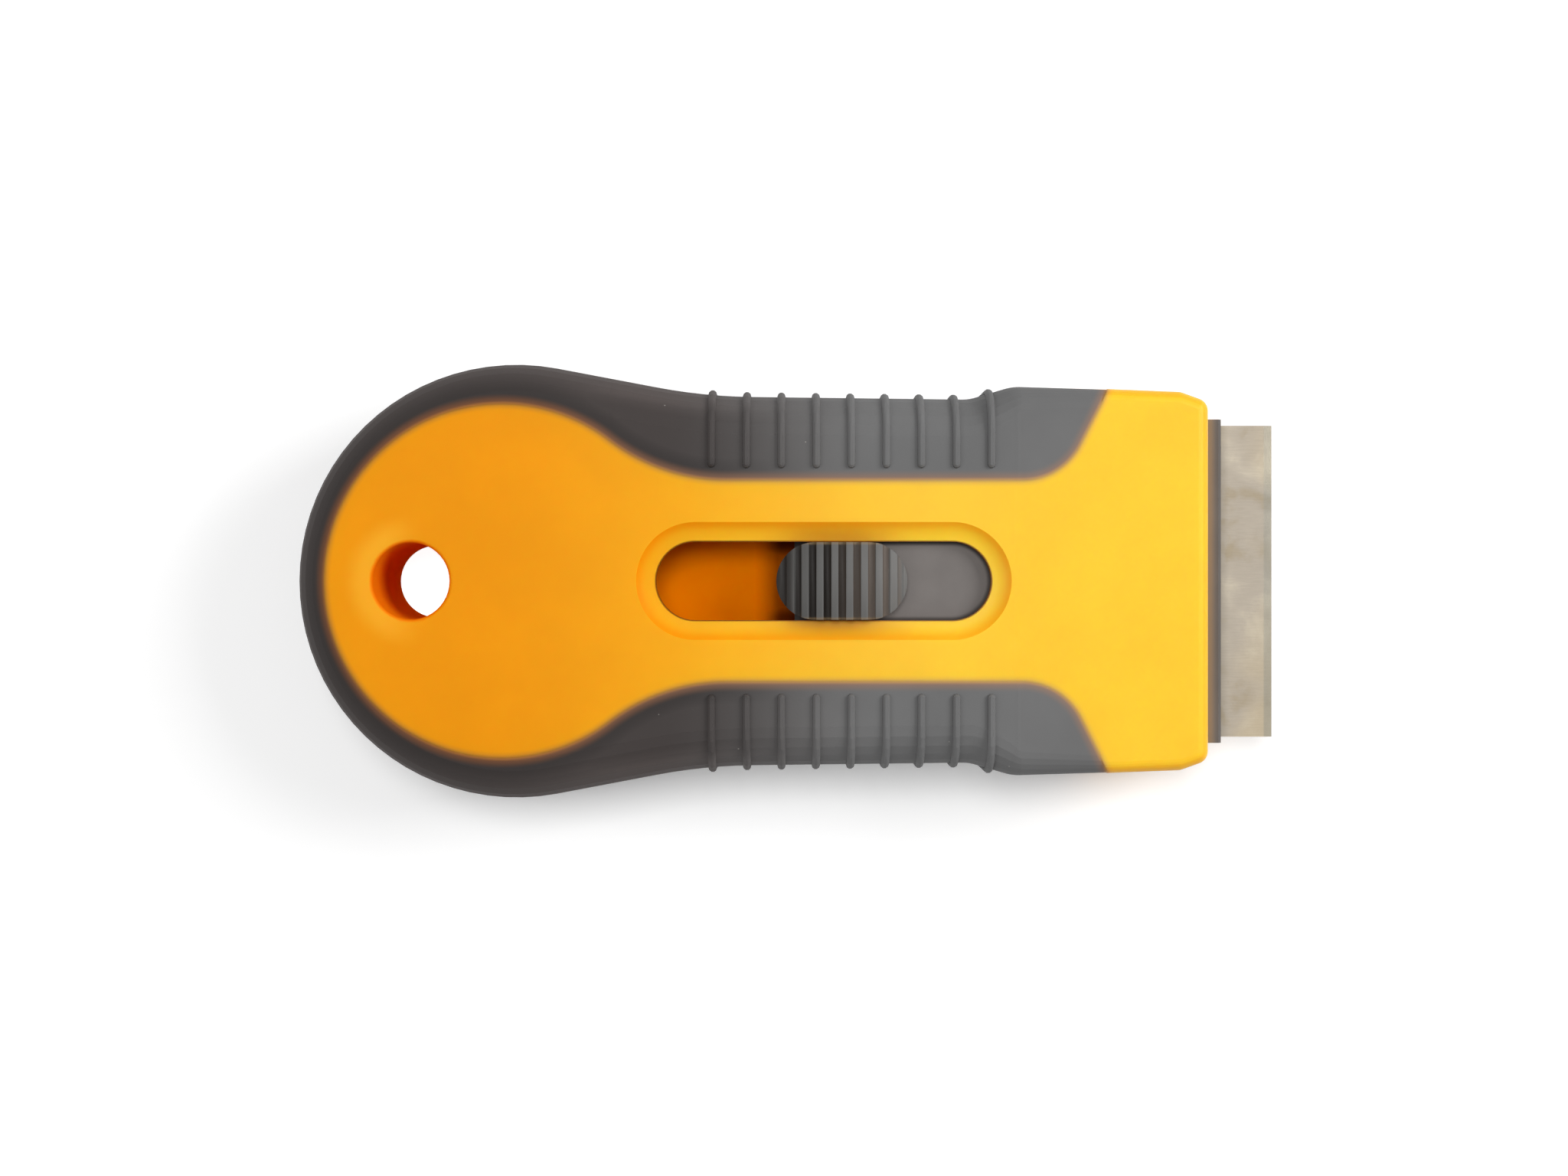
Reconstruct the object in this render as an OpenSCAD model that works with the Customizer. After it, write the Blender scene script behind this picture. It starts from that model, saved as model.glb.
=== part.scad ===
// Razor blade scraper with a blade carrier that slides in a two-part handle.
// +X points at the blade, +Z is up and the underside lies on Z zero.
// The origin is the middle of the whole length and width, on the underside.
// The two shells meet on a level parting face, half way up the handle.

/* [Housing] */
// Length of the handle, without the lip and the blade
housing_len = 111.4; // [109:0.1:116]
// Thickness over both shells
housing_t = 18; // [17.6:0.1:19.5]
// Radius of the round handle end
handle_r = 26.7; // [26:0.1:28]
// Width across the waist at its rear end
waist_rear_w = 45.6; // [45:0.1:47]
// Width across the waist at its front end
waist_front_w = 44.8; // [44.5:0.1:46]
// Thickness of the cheeks beside the mouth, at the front face
cheek_t = 1.65; // [1.5:0.05:2.2]
// Width of the chamfers at the corners of the nose
nose_chamfer = 1.2; // [0.8:0.1:1.6]
// How much the flanks widen from the nose to the shoulders, on each side
shoulder_out = 0.7; // [0.4:0.1:1.5]
// How much lower the front face is than the middle, on each side
nose_drop = 1.2; // [0.4:0.1:1.5]
// Thickness of the walls behind the bare panel
wall = 2.2; // [2:0.1:2.4]

/* [Grip] */
// Thickness of the soft grip on the flat faces
grip_top_t = 1.6; // [1.2:0.1:1.8]
// Thickness of the soft grip on the flanks
grip_side_t = 1.9; // [1.6:0.1:2]
// Width of the grip round the handle end
rim_w = 5.25; // [4.8:0.05:6]
// Width of the bare panel between the grips
band_w = 24.4; // [23.6:0.1:25]
// Number of ribs on each flank
rib_count = 9; // [5:1:9]
// Distance from rib to rib
rib_pitch = 4.23; // [3.6:0.01:4.3]
// Width of a rib
rib_w = 1; // [0.8:0.1:1.2]

/* [Slot and button] */
// Length of the slot
slot_len = 40.7; // [40:0.1:42]
// Width of the slot
slot_w = 9.55; // [9.2:0.05:10]
// Width of the dished rim round the slot
dish_w = 2.35; // [2:0.05:2.6]
// Length of the thumb button
button_len = 15.9; // [15:0.1:16.5]
// Length that the carrier runs back from the working position
travel_back = 14.45; // [13:0.05:14.5]
// How far the button is pressed to free the catch
press = 1; // [0.8:0.1:1]
// Distance from ridge to ridge on the button
ridge_pitch = 1.79; // [1.6:0.01:1.9]

/* [Blade] */
// Length of the blade's edge
blade_w = 39; // [38:0.1:39.2]
// Depth of the blade from its back to its edge
blade_depth = 19; // [18.5:0.1:19.5]
// Thickness of the blade
blade_t = 0.23; // [0.2:0.01:0.3]
// Length of blade in front of the lip
blade_out = 6.8; // [6:0.1:7.2]
// Length of the carrier's lip in front of the handle
lip_out = 2.6; // [1.6:0.1:2.8]
// How much wider the lip is than the blade, on each side
lip_margin = 0.6; // [0.5:0.05:0.7]

/* [Hang hole] */
// Diameter of the hang hole
hang_d = 9.3; // [8:0.1:10]
// Distance from the handle end to the middle of the hole
hang_inset = 14.5; // [13:0.1:16]

/* [Hidden] */
$fn = 64;
post_fn = 32;
crown_fn = 128;
socket_fn = 6;
// One overrun for every cut, and one depth for every root in a wall
over = 1;
root = 0.5;

// Places along the length
total_len = housing_len + lip_out + blade_out;
x_rear = -total_len / 2;
x_front = x_rear + housing_len;
x_lip = x_front + lip_out;
x_edge = total_len / 2;
handle_x = x_rear + handle_r;
hang_x = x_rear + hang_inset;
half_t = housing_t / 2;

// Clearances of what slides
slide_clear = 0.2;
guide_clear = 0.15;
rail_clear = 0.1;

// Widths at the front, from the blade out
lip_w = blade_w + 2 * lip_margin;
mouth_w = lip_w + 2 * guide_clear;
nose_w = mouth_w + 2 * cheek_t;
front_w = nose_w + 2 * nose_chamfer;
shoulder_w = front_w + 2 * shoulder_out;

// Outline of the handle
shoulder_setback = 23.9;
shoulder_rise_len = 5.1;
waist_back = 3.6;
nose_len = 3.4;
nose_r = 1.6;
shoulder_r = 6;
waist_r = 68;
side_r = 5;
outline_cut_len = 6;
corner_steps = 5;
waist_steps = 6;
handle_steps = 22;
x_shoulder = x_front - shoulder_setback;
x_cut = x_front - outline_cut_len;
nose_pt = [x_front, nose_w / 2];
front_pt = [x_front - nose_len, front_w / 2];
shoulder_pt = [x_shoulder, shoulder_w / 2];
waist_front_pt = [x_shoulder - shoulder_rise_len, waist_front_w / 2];
waist_rear_pt = [handle_x + handle_r - waist_back, waist_rear_w / 2];

// Bare panel and grips
panel_r = handle_r - rim_w;
panel_shift = 1.2;
panel_x = handle_x - panel_shift;
sweep_r = 23.5;
sweep_steps = 8;
panel_steps = 24;
tongue_steps = 8;
tongue_r = 8;
tongue_angle = 63;
tongue_setback = 18.1;
tongue_pt = [x_front - tongue_setback, band_w / 2];
rib_setback = 26.7;
rib_gap = 1.9;
rib_lift = 0.1;
rib_foot = 1;
rib_fn = 10;
edge_steps = 6;
// The ribs of the lower grip stand on Z zero and carry the tool
mid_z = half_t + rib_lift + rib_w / 2 * cos(180 / rib_fn);
part_bevel = 0.2;
core_wall = 1.8;
core_z = half_t - grip_top_t;
low_roof_z = core_z - core_wall;
high_roof_z = half_t - wall;

// Slot, its dished rim and the button in it
slot_setback = 26.6;
slot_x1 = x_front - slot_setback;
slot_x0 = slot_x1 - slot_len;
dish_r = 3.6;
dish_depth = dish_r - sqrt(dish_r * dish_r - dish_w * dish_w);
end_clear = 0.15;
side_clear = 0.1;
button_w = slot_w - 2 * side_clear;
button_x = slot_x0 + end_clear + travel_back + button_len / 2;
travel_forward = slot_x1 - end_clear - button_len / 2 - button_x;

// Blade, its folded back and the two jaws that hold it
spine_depth = 4;
spine_t = 1;
blade_bevel = 1;
edge_t = 0.03;
blade_hook = 0.4;
jaw_clear = 0.02;
spine_clear = 0.1;
jaw_t = 2.265;
jaw_z = blade_t / 2 + jaw_clear;
head_z = jaw_z + jaw_t;
lip_bevel_len = 0.4;
lip_bevel_drop = 0.4;
spine_x = x_edge - blade_depth;

// Carrier: a channel under the slot, and a wide head that holds the blade
channel_w = 17.2;
channel_wall = 1.6;
channel_plate_t = 1.8;
channel_len = 29.7;
channel_inset = 1;
plate_inset = 3.05;
channel_nose_len = 4;
head_back = 0.4;
head_taper_len = 10;
head_overlap = 1.5;
channel_x0 = button_x - button_len / 2 + channel_inset;
channel_x1 = channel_x0 + channel_len;
channel_z1 = high_roof_z - slide_clear;
plate_z = channel_z1 - channel_plate_t;
skirt_z = -spine_t / 2;
head_x = spine_x - head_back;
head_taper_x = head_x - head_taper_len;

// Clamp under the blade, with its two screws
clamp_pad_len = 4.5;
clamp_screw_inset = 2.5;
clamp_screw_y = 12;
clamp_screw_r = 0.8;
clamp_screw_len = 4.2;
clamp_head_r = 1.9;
clamp_head_t = 1;
clamp_x = head_x - clamp_pad_len;

// Latch: a leaf spring whose two tips catch in notches beside the slot
leaf_t = 0.5;
leaf_w = 8;
leaf_z = 2;
leaf_run = 14;
leaf_slope_len = 4.5;
leaf_mount_len = 7;
bar_w = 1.5;
tip_t = 0.8;
tip_w = 19.8;
tip_play = 0.3;
tip_z = plate_z;
latch_inset = 2;
latch_x = channel_x0 + latch_inset;
latch_room = 2.5;
leaf_x0 = latch_x - bar_w / 2;
leaf_x1 = leaf_x0 + leaf_run;
leaf_x2 = leaf_x1 + leaf_slope_len;
leaf_x3 = leaf_x2 + leaf_mount_len;
latch_screw_r = 0.7;
latch_screw_y = 2.5;
latch_head_r = 1.3;
latch_head_t = 0.9;
latch_thread_len = 1.2;

// Ribs beside the slot that guide the channel and hold the notches
rack_t = 1.45;
rack_z = 3.4;
rack_margin = 3;
rack_y = channel_w / 2 + guide_clear;
notch_w = bar_w + 2 * tip_play;
notch_z = tip_z + slide_clear;

// Rails that the channel's skirts run on
rail_t = channel_wall;
rail_margin = 2.5;
rail_z = skirt_z - rail_clear;
rail_x0 = channel_x0 - travel_back - rail_margin;
rail_x1 = clamp_x - travel_back - over;

// Table between the rails, under the pressed spring: the floor that shows in the slot
table_t = 1.6;
table_z = leaf_z - leaf_t - press - rail_clear;
table_x1 = channel_x1 - channel_wall - travel_back - over;

// Button
cap_gap = press + rail_clear;
cap_z0 = channel_z1 + cap_gap;
button_proud = 1;
cap_z1 = half_t + button_proud;
crown_h = 1.8;
groove_r = 0.47;
groove_share = 0.3;
ridge_count = 10;
stem_len = 5.4;
stem_w = 5.4;
stem_clear = 0.2;
stem_gap = 0.05;
hook_len = 3;
hook_t = 0.6;
hook_h = 0.9;

// Mouth and inner spaces
mouth_z = head_z + slide_clear;
mouth_rear_clear = 0.6;
nose_wall = 3.5;
channel_front_clear = 1.3;
mouth_x0 = head_x - travel_back - mouth_rear_clear;

// Housing screws, from the underside
screw_r = 1.3;
screw_len = 9.5;
screw_point_len = 1.2;
screw_head_r = 2.5;
screw_head_t = 1.6;
screw_socket_r = 1.2;
screw_socket_t = 0.9;
seat_depth = 5;
seat_z = -seat_depth;
pilot_clear = 0.03;
shank_clear = 0.2;
head_clear = 0.3;
pilot_spare = 0.5;
boss_r = 3;
foot_boss_r = 4;
web_t = 1.5;
web_z = 1.5;
front_screw_rib = 4;
front_screw_y = 16;
rear_screw_lead = 3.7;
rear_screw_y = 13.5;
front_screw = [x_front - rib_setback - front_screw_rib * rib_pitch, front_screw_y];
rear_screw = [handle_x + rear_screw_lead, rear_screw_y];
screw_places = [front_screw, rear_screw];

// Hang hole
hang_r = hang_d / 2;
hang_wall = 1.9;
hang_rim_r = 0.45;

// Colours
yellow = "#ffc43f";
soft_grey = "#6f6d6c";
hard_grey = "#77726e";
steel = "#b4a798";
zinc = "#a9adb0";

// Points and directions

function unit(v) = v / norm(v);
function right_of(d) = [d.y, -d.x];
function turned(v, a) = [v.x * cos(a) - v.y * sin(a), v.x * sin(a) + v.y * cos(a)];
function turn_angle(d, e) = atan2(d.x * e.y - d.y * e.x, d * e);
function on_circle(c, r, a) = c + r * [cos(a), sin(a)];

// Middle of the fillet of radius r at corner v, between a and b
function fillet_middle(a, v, b, r) =
    let (u = unit(a - v), w = unit(b - v))
    v + unit(u + w) * r / sin(acos(u * w) / 2);

// Samples of that fillet, each a point with its outward direction
function fillet(a, v, b, r, steps) =
    let (d = unit(v - a), e = unit(b - v), turn = turn_angle(d, e),
        c = fillet_middle(a, v, b, r))
    [for (i = [0 : steps]) let (n = turned(right_of(d), turn * i / steps)) [c + sign(turn) * r * n, n]];

function mirrored(half) = concat(half, [for (i = [len(half) - 1 : -1 : 0])
    if (abs(half[i].y) > part_bevel / 2) [half[i].x, -half[i].y]]);

// Outline of the handle, from the front to the rear on the +Y side

flank_dir = unit(shoulder_pt - front_pt);
cut_pt = front_pt + flank_dir * (front_pt.x - x_cut);
to_waist = waist_rear_pt - [handle_x, 0];
handle_angle = atan2(to_waist.y, to_waist.x) + acos(handle_r / norm(to_waist));
tangent_pt = on_circle([handle_x, 0], handle_r, handle_angle);

handle_arc = [for (i = [0 : handle_steps])
    let (a = handle_angle + (180 - handle_angle) * i / handle_steps)
    [on_circle([handle_x, 0], handle_r, a), [cos(a), sin(a)]]];

outline = concat([[cut_pt, right_of(flank_dir)]],
    fillet(front_pt, shoulder_pt, waist_front_pt, shoulder_r, corner_steps),
    fillet(shoulder_pt, waist_front_pt, waist_rear_pt, shoulder_r, corner_steps),
    fillet(waist_front_pt, waist_rear_pt, tangent_pt, waist_r, waist_steps),
    handle_arc);

function inset_outline(d) = mirrored([for (s = outline) s[0] - d * s[1]]);
function half_width(x) = lookup(x, [for (s = outline) [s[0].x, s[0].y]]);

// Height of the outer face over the parting face, and radius of its edge
function top_z(x) = half_t - nose_drop * max(0, x - x_shoulder) / shoulder_setback;
function edge_r(x) =
    let (share = max(0, min(1, (x - waist_front_pt.x) / (tongue_pt.x - waist_front_pt.x))))
    side_r + (nose_r - side_r) * share;

// Edge of the bare panel, from the shoulder line to the rear
sweep_y = band_w / 2 + sweep_r;
sweep_dx = sqrt(pow(panel_r + sweep_r, 2) - sweep_y * sweep_y);
sweep_angle = atan2(sweep_y, sweep_dx);
sweep_pt = [panel_x + sweep_dx, sweep_y];

panel_rear_half = concat([[x_shoulder, band_w / 2]],
    [for (i = [0 : sweep_steps - 1])
        on_circle(sweep_pt, sweep_r, 270 - (90 - sweep_angle) * i / sweep_steps)],
    [for (i = [0 : panel_steps])
        on_circle([panel_x, 0], panel_r, sweep_angle + (180 - sweep_angle) * i / panel_steps)]);

tongue_top = tongue_pt + handle_r * [cos(tongue_angle), sin(tongue_angle)];
panel_front_half = concat([[x_front + over, tongue_top.y], tongue_top],
    [for (s = fillet(tongue_top, tongue_pt, [x_shoulder, band_w / 2], tongue_r, tongue_steps)) s[0]],
    [[x_shoulder - side_r, band_w / 2]]);

module at_mid() {
    translate([0, 0, mid_z]) children();
}

module both_sides() {
    children();
    mirror([0, 1, 0]) children();
}

module plate_of(points, z0, z1) {
    translate([0, 0, z0]) linear_extrude(z1 - z0) polygon(points);
}

// A bar from side to side, drawn by its outline in X and Z
module bar_of(points, w) {
    translate([0, w / 2, 0]) rotate([90, 0, 0]) linear_extrude(w) polygon(points);
}

module box_of(x0, x1, y0, y1, z0, z1) {
    translate([x0, y0, z0]) cube([x1 - x0, y1 - y0, z1 - z0]);
}

module stadium(x0, x1, w) {
    translate([x0 + w / 2, 0]) circle(d = w);
    translate([x1 - w / 2, 0]) circle(d = w);
    translate([x0 + w / 2, -w / 2]) square([x1 - x0 - w, w]);
}

// Housing, drawn as one half over the parting face

module nose_post(c) {
    z = top_z(c.x) - nose_r;
    translate([c.x, c.y, 0]) cylinder(r = nose_r, h = z, $fn = post_fn);
    translate([c.x, c.y, z]) sphere(nose_r, $fn = post_fn);
}

module nose_block() {
    corner = fillet_middle([x_front, 0], nose_pt, front_pt, nose_r);
    bend = fillet_middle(nose_pt, front_pt, shoulder_pt, nose_r);
    shoulder = shoulder_pt - nose_r * right_of(flank_dir);
    intersection() {
        hull() both_sides() {
            nose_post(corner);
            nose_post(bend);
            nose_post(shoulder);
            nose_post(shoulder - [side_r, 0]);
        }
        plate_of(mirrored(panel_front_half), 0, half_t + over);
    }
}

module half_body() {
    plate_of(mirrored(panel_rear_half), 0, half_t);
    nose_block();
    plate_of(inset_outline(grip_side_t), 0, core_z);
}

module half_cavity() {
    front_cut = x_front - nose_wall;
    intersection() {
        plate_of(inset_outline(grip_side_t + core_wall), -over, low_roof_z);
        box_of(x_rear, front_cut, -handle_r, handle_r, -2 * over, half_t);
    }
    band_half = band_w / 2 - core_wall;
    translate([0, 0, -over]) {
        translate([panel_x, 0, 0]) cylinder(r = panel_r - core_wall, h = high_roof_z + over);
        box_of(panel_x, channel_x1 + travel_forward + channel_front_clear, -band_half, band_half,
            0, high_roof_z + over);
    }
}

module mouth() {
    box_of(mouth_x0, x_front + over, -mouth_w / 2, mouth_w / 2, -over, mouth_z);
}

module hang_sleeve() {
    translate([hang_x, 0, 0]) cylinder(r = hang_r + hang_wall, h = high_roof_z + root);
}

module hang_bore() {
    translate([hang_x, 0, 0]) {
        translate([0, 0, -over]) cylinder(r = hang_r, h = half_t + 2 * over);
        // The rounded rim
        translate([0, 0, half_t - hang_rim_r]) rotate_extrude() difference() {
            square([hang_r + hang_rim_r, hang_rim_r + over]);
            translate([hang_r + hang_rim_r, 0]) circle(hang_rim_r);
        }
    }
}

// A post for a screw, tied to the flank by a web
module boss(place, r, roof) {
    flank_y = half_width(place.x) - grip_side_t - core_wall + root;
    translate([place.x, place.y, 0]) cylinder(r = r, h = roof + root);
    box_of(place.x - web_t / 2, place.x + web_t / 2, place.y, flank_y, web_z, low_roof_z + root);
}

module bosses(r) {
    both_sides() {
        boss(front_screw, r, low_roof_z);
        boss(rear_screw, r, high_roof_z);
    }
}

module screw_holes(r, z0, z1) {
    both_sides() for (p = screw_places)
        translate([p.x, p.y, z0]) cylinder(r = r, h = z1 - z0);
}

module half_shell() {
    difference() {
        half_body();
        half_cavity();
    }
}

// The slot's rim falls in a hollow curve to the slot's edge
module dish() {
    rim_r = slot_w / 2;
    for (x = [slot_x0 + rim_r, slot_x1 - rim_r])
        translate([x, 0, half_t - dish_depth]) rotate_extrude() dish_profile(rim_r);
    translate([slot_x0 + rim_r, 0, half_t - dish_depth]) rotate([90, 0, 90])
        linear_extrude(slot_len - slot_w) {
            dish_profile(rim_r);
            mirror([1, 0]) dish_profile(rim_r);
        }
}

module dish_profile(rim_r) {
    square([rim_r, dish_depth + over]);
    intersection() {
        translate([rim_r, dish_r]) circle(dish_r);
        translate([rim_r, 0]) square([dish_r, dish_depth + over]);
    }
}

module racks() {
    x0 = latch_x - travel_back - rack_margin;
    x1 = latch_x + travel_forward + rack_margin;
    both_sides() difference() {
        box_of(x0, x1, rack_y, rack_y + rack_t, rack_z, high_roof_z + root);
        for (travel = [-travel_back, 0, travel_forward])
            box_of(latch_x + travel - notch_w / 2, latch_x + travel + notch_w / 2,
                rack_y - over, rack_y + rack_t + over, rack_z - over, notch_z);
    }
}

module upper_shell() {
    color(yellow) at_mid() difference() {
        union() {
            half_shell();
            hang_sleeve();
            bosses(boss_r);
            racks();
        }
        mouth();
        hang_bore();
        dish();
        translate([0, 0, -over]) linear_extrude(half_t + 2 * over) stadium(slot_x0, slot_x1, slot_w);
        screw_holes(screw_r + pilot_clear, -over, seat_z + screw_len + pilot_spare);
    }
}

module rails() {
    both_sides() box_of(rail_x0, rail_x1, channel_w / 2 - rail_t, channel_w / 2,
        -rail_z, high_roof_z + root);
}

module table() {
    inner = channel_w / 2 - rail_t;
    box_of(rail_x0, table_x1, -inner - root, inner + root, -rail_z, table_t - rail_z);
    box_of(rail_x0, table_x1, slide_clear - inner, inner - slide_clear, -table_z, table_t - rail_z);
}

module lower_shell() {
    color(yellow) at_mid() mirror([0, 0, 1]) difference() {
        union() {
            half_shell();
            hang_sleeve();
            bosses(foot_boss_r);
            rails();
            table();
        }
        mouth();
        hang_bore();
        screw_holes(screw_r + shank_clear, -over, half_t + over);
        screw_holes(screw_head_r + head_clear, -seat_z, half_t + over);
    }
}

// Grips

// Inset and height of ring k at x: a bevel at the parting face, then the rounded edge
function ring_inset(x, k) = k == 0 ? part_bevel : k == 1 ? 0
    : edge_r(x) * (1 - cos(90 * (k - 2) / edge_steps));
function ring_z(x, k) = k == 0 ? 0 : k == 1 ? part_bevel
    : top_z(x) - edge_r(x) * (1 - sin(90 * (k - 2) / edge_steps));

// The whole outer form of one half, as rings round the outline
module half_form() {
    half_n = len(outline);
    ring_n = 2 * half_n - 1;
    rings = edge_steps + 3;
    function ring(k) =
        let (half = [for (s = outline) concat(s[0] - ring_inset(s[0].x, k) * s[1], [ring_z(s[0].x, k)])])
        concat(half, [for (i = [half_n - 2 : -1 : 0]) [half[i].x, -half[i].y, half[i].z]]);
    points = [for (k = [0 : rings - 1]) each ring(k)];
    top = (rings - 1) * ring_n;
    sides = [for (k = [0 : rings - 2], j = [0 : ring_n - 1])
        let (a = k * ring_n + j, b = k * ring_n + (j + 1) % ring_n)
        each [[a, a + ring_n, b + ring_n], [a, b + ring_n, b]]];
    caps = [for (i = [0 : half_n - 2])
        let (m = ring_n - 1 - i, n = i == half_n - 2 ? i + 1 : m - 1)
        each [[top + i, top + m, top + n, top + i + 1], [i, i + 1, n, m]]];
    polyhedron(points, concat(sides, caps));
}

// Middle line of a rib across the top, round the edge and down the flank
function rib_line(x) =
    let (w = half_width(x) + rib_lift, z = top_z(x) + rib_lift, r = edge_r(x) + rib_lift)
    concat([[min(lookup(x, panel_rear_half) + rib_gap, w - r), z]],
        [for (i = [0 : edge_steps]) let (a = 90 * i / edge_steps)
            [w - r * (1 - sin(a)), z - r * (1 - cos(a))]],
        [[w, rib_foot]]);

module rib(x) {
    line = rib_line(x);
    for (i = [0 : len(line) - 2]) hull() {
        translate([x, line[i].x, line[i].y]) sphere(d = rib_w, $fn = rib_fn);
        translate([x, line[i + 1].x, line[i + 1].y]) sphere(d = rib_w, $fn = rib_fn);
    }
}

module half_grip(ribs) {
    difference() {
        union() {
            half_form();
            for (i = ribs) both_sides() rib(x_front - rib_setback - i * rib_pitch);
        }
        plate_of(mirrored(panel_rear_half), -over, half_t + over);
        plate_of(mirrored(panel_front_half), -over, half_t + over);
        plate_of(inset_outline(grip_side_t), -over, core_z);
    }
}

module upper_grip() {
    color(soft_grey) at_mid() half_grip([0 : rib_count - 1]);
}

// The rib in the way of the front screws is left out below
module lower_grip() {
    color(soft_grey) at_mid() rotate([180, 0, 0]) difference() {
        half_grip([for (i = [0 : rib_count - 1]) if (i != front_screw_rib) i]);
        screw_holes(screw_head_r + head_clear, 0, half_t + over, $fn = post_fn);
    }
}

// Carrier

// Plan of the head: it widens from the channel to the blade's length
function head_plan(x0) =
    let (w0 = channel_w / 2, w1 = lip_w / 2,
        start = max(x0, head_taper_x), w = w0 + (w1 - w0) * (start - head_taper_x) / head_taper_len)
    mirrored(concat([[x_lip, w1], [head_x, w1], [start, w]], x0 < start ? [[x0, w0]] : []));

module jaw(x0) {
    intersection() {
        bar_of([[x0, jaw_z], [x_lip, jaw_z], [x_lip, head_z - lip_bevel_drop],
            [x_lip - lip_bevel_len, head_z], [x0, head_z]], lip_w);
        plate_of(head_plan(x0), 0, half_t);
    }
}

module spine_pocket() {
    box_of(spine_x - spine_clear, spine_x + spine_depth + spine_clear,
        -blade_w / 2 - spine_clear, blade_w / 2 + spine_clear, -over, spine_t / 2 + spine_clear);
}

module at_clamp_screws() {
    for (y = [-clamp_screw_y, clamp_screw_y])
        translate([clamp_x + clamp_screw_inset, y, -head_z]) children();
}

module at_latch_screws() {
    for (y = [-latch_screw_y, latch_screw_y])
        translate([(leaf_x2 + leaf_x3) / 2, y, plate_z - leaf_t]) children();
}

module blade_carrier() {
    inner = channel_w / 2 - channel_wall;
    color(hard_grey) at_mid() difference() {
        union() {
            box_of(channel_x0 + plate_inset, channel_x1, -channel_w / 2, channel_w / 2,
                plate_z, channel_z1);
            both_sides() box_of(latch_x + bar_w / 2 + latch_room, channel_x1, inner, channel_w / 2,
                skirt_z, channel_z1);
            box_of(channel_x1 - channel_wall, channel_x1, -channel_w / 2, channel_w / 2,
                skirt_z, channel_z1);
            bar_of([[channel_x1 - root, channel_z1], [channel_x1, channel_z1],
                [channel_x1 + channel_nose_len, head_z - root],
                [channel_x1 - root, head_z - root]], channel_w);
            jaw(channel_x1 - head_overlap);
        }
        spine_pocket();
        box_of(button_x - stem_len / 2 - stem_clear, button_x + stem_len / 2 + stem_clear,
            -stem_w / 2 - stem_clear, stem_w / 2 + stem_clear, plate_z - over, channel_z1 + over);
        at_clamp_screws() cylinder(r = clamp_screw_r + pilot_clear, h = clamp_screw_len + slide_clear);
        at_latch_screws()
            cylinder(r = latch_screw_r + pilot_clear, h = leaf_t + latch_thread_len + side_clear);
    }
}

module blade_clamp() {
    color(hard_grey) at_mid() difference() {
        union() {
            mirror([0, 0, 1]) jaw(clamp_x);
            // The pad behind the blade closes the gap between the jaws
            intersection() {
                plate_of(head_plan(clamp_x), -head_z, jaw_z);
                box_of(clamp_x, spine_x - spine_clear, -lip_w, lip_w, -head_z, jaw_z);
            }
        }
        mirror([0, 0, 1]) spine_pocket();
        at_clamp_screws() {
            translate([0, 0, -over]) cylinder(r = clamp_screw_r + shank_clear, h = head_z + 2 * over);
            translate([0, 0, -over]) cylinder(r = clamp_head_r + shank_clear, h = clamp_head_t + over);
        }
    }
}

module blade() {
    color(steel) at_mid() bar_of([[spine_x + blade_hook, blade_t / 2],
        [spine_x + blade_hook, -blade_t / 2], [x_edge - blade_bevel, -blade_t / 2],
        [x_edge, -edge_t / 2], [x_edge, edge_t / 2], [x_edge - blade_bevel, blade_t / 2]], blade_w);
}

module blade_spine() {
    x1 = spine_x + spine_depth;
    color(zinc) at_mid() difference() {
        bar_of([[spine_x, -spine_t / 2], [x1, -spine_t / 2], [x1, spine_t / 2], [spine_x, spine_t / 2]],
            blade_w);
        box_of(spine_x + blade_hook, x1 + over, -blade_w, blade_w, -blade_t / 2, blade_t / 2);
    }
}

// Thumb button: a crowned cap with cross ridges, on a stem with two hooks
module thumb_button() {
    x0 = button_x - button_len / 2;
    cap_r = (pow(button_len / 2, 2) + crown_h * crown_h) / (2 * crown_h);
    crown_z = cap_z1 - cap_r;
    color(soft_grey) at_mid() {
        difference() {
            intersection() {
                translate([0, 0, cap_z0]) linear_extrude(cap_z1 - cap_z0)
                    stadium(x0, x0 + button_len, button_w);
                translate([button_x, 0, crown_z]) rotate([90, 0, 0])
                    cylinder(r = cap_r, h = button_w + 2 * over, center = true, $fn = crown_fn);
            }
            for (i = [0 : ridge_count - 2]) {
                dx = (i - (ridge_count - 2) / 2) * ridge_pitch;
                dz = sqrt(cap_r * cap_r - dx * dx);
                depth = groove_share * (crown_z + dz - cap_z0);
                translate([button_x + dx, 0, crown_z + dz - depth + groove_r]) {
                    rotate([90, 0, 0]) cylinder(r = groove_r, h = button_w + 2 * over, center = true);
                    box_of(-groove_r, groove_r, -button_w / 2 - over, button_w / 2 + over, 0, depth + over);
                }
            }
        }
        box_of(button_x - stem_len / 2, button_x + stem_len / 2, -stem_w / 2, stem_w / 2,
            leaf_z + stem_gap, cap_z0 + root);
        hook_z = plate_z - slide_clear;
        both_sides() translate([button_x - hook_len / 2, 0, 0]) rotate([90, 0, 90])
            linear_extrude(hook_len) polygon([[stem_w / 2 - root, hook_z - hook_h],
                [stem_w / 2, hook_z - hook_h], [stem_w / 2 + hook_t, hook_z - hook_h / 2],
                [stem_w / 2 + hook_t, hook_z], [stem_w / 2 - root, hook_z]]);
    }
}

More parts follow.
